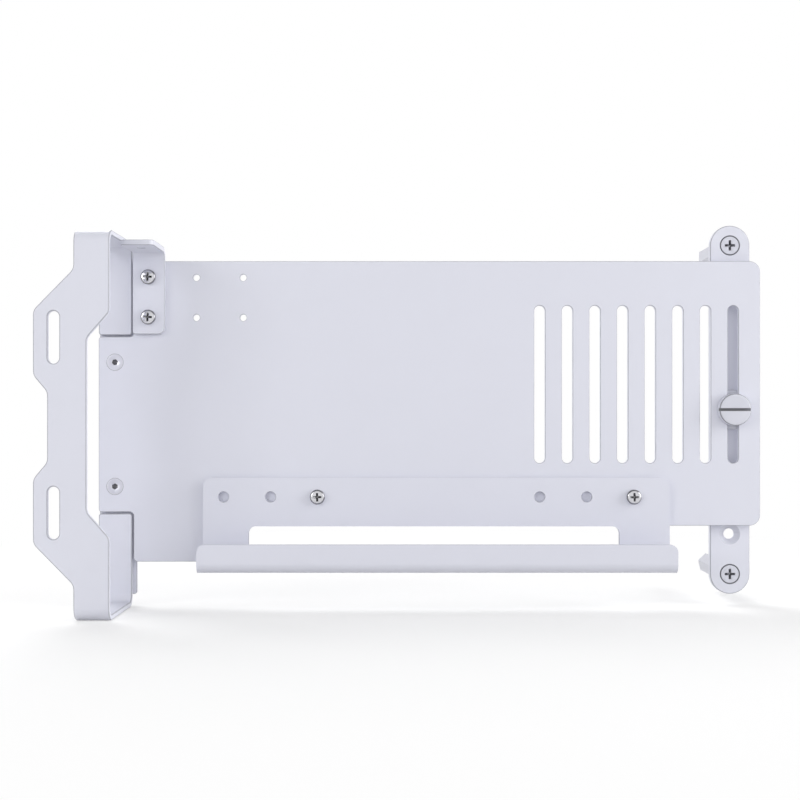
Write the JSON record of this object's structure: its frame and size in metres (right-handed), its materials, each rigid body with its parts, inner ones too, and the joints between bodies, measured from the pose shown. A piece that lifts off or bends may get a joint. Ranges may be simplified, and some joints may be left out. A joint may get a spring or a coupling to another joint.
{
  "type": "vertical graphics card mount",
  "caption": "Bent sheet metal mount that holds a graphics card upright in a computer case, with a screw frame, card bracket, riser shelf and a sliding support bar.",
  "frame": {"origin": "midway between the two case slots, on the face of the frame that lies on the case", "axes": "+X along the card and the base plate, away from the frame; +Y from the open side of the case towards the board; +Z across the card, from the riser shelf towards the card bracket's flange"},
  "size_m": [0.2621, 0.087, 0.1435],
  "materials": {
    "white_coat": "fine white powder coat on steel, with a faint lilac tint",
    "nickel_screws": "bright nickel plate",
    "zinc_screws": "pale satin zinc plate",
    "white_screws": "smooth white paint on turned steel"
  },
  "bodies": {
    "plate_assembly": {"base_plate": "white_coat", "case_frame": "white_coat", "joining_strip": "white_coat", "tab_screw_upper": "zinc_screws", "tab_screw_lower": "zinc_screws", "card_bracket": "white_coat", "bracket_screw_upper": "nickel_screws", "bracket_screw_lower": "nickel_screws", "riser_shelf": "white_coat", "shelf_screw_near": "nickel_screws", "shelf_screw_far": "nickel_screws"},
    "slider": {"slot_spacer": "white_coat"},
    "bar_assembly": {"support_bar": "white_coat", "bar_screw_upper": "white_screws", "bar_screw_lower": "white_screws", "support_post_upper": "white_screws", "support_post_lower": "white_screws"},
    "thumb_screw": {"thumb_screw": "white_screws"}
  },
  "joints": [
    {"name": "bar_slide", "type": "slide", "parent": "plate_assembly", "child": "slider", "axis": [0, 0, 1], "range_m": [-0.018, 0.037]},
    {"name": "bar_swivel", "type": "hinge", "parent": "slider", "child": "bar_assembly", "pos_m": [0.2448, 0.0425, 0.0055], "axis": [0, 1, 0], "continuous": true},
    {"name": "thumb_screw_turn", "type": "hinge", "parent": "slider", "child": "thumb_screw", "pos_m": [0.2448, 0.036, 0.0055], "axis": [0, 1, 0], "continuous": true}
  ]
}
